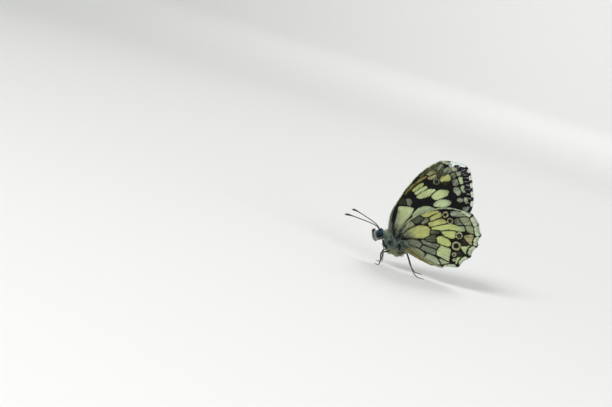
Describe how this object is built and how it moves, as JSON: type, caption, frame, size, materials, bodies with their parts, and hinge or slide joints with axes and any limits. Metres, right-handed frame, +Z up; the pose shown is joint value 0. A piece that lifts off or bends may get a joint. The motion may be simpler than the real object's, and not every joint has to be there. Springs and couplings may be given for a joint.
{
  "type": "marbled white butterfly",
  "caption": "Life-size still model of a marbled white butterfly at rest on its feet, wings closed upright over the back and antennae spread.",
  "frame": {"origin": "centre of the outline box, on the floor that the feet stand on", "axes": "+Z up, the head points along -X, the insect's left side faces -Y"},
  "size_m": [0.0374, 0.0146, 0.0333],
  "materials": {
    "coat": "dense grey-white and dark hair",
    "palp": "hair, pale with a dark front fringe",
    "abdomen": "ochre-grey scales",
    "eye": "smooth, glossy, blue-black",
    "proboscis": "satin, grey-brown",
    "antenna": "satin, brown with pale rings and a dark club",
    "leg": "satin, grey-ochre, dark above",
    "forewing": "matt scales, cream and black chequers, black veins",
    "hindwing": "matt scales, cream-yellow with grey bands and ringed spots"
  },
  "bodies": {
    "root": {"abdomen": "abdomen", "antenna_left": "antenna", "antenna_right": "antenna", "eye_left": "eye", "eye_right": "eye", "foreleg_left": "leg", "foreleg_right": "leg", "forewing_left": "forewing", "forewing_right": "forewing", "head": "coat", "hindleg_left": "leg", "hindleg_right": "leg", "hindwing_left": "hindwing", "hindwing_right": "hindwing", "midleg_left": "leg", "midleg_right": "leg", "palp_left": "palp", "palp_right": "palp", "proboscis": "proboscis", "thorax": "coat"}
  },
  "joints": []
}
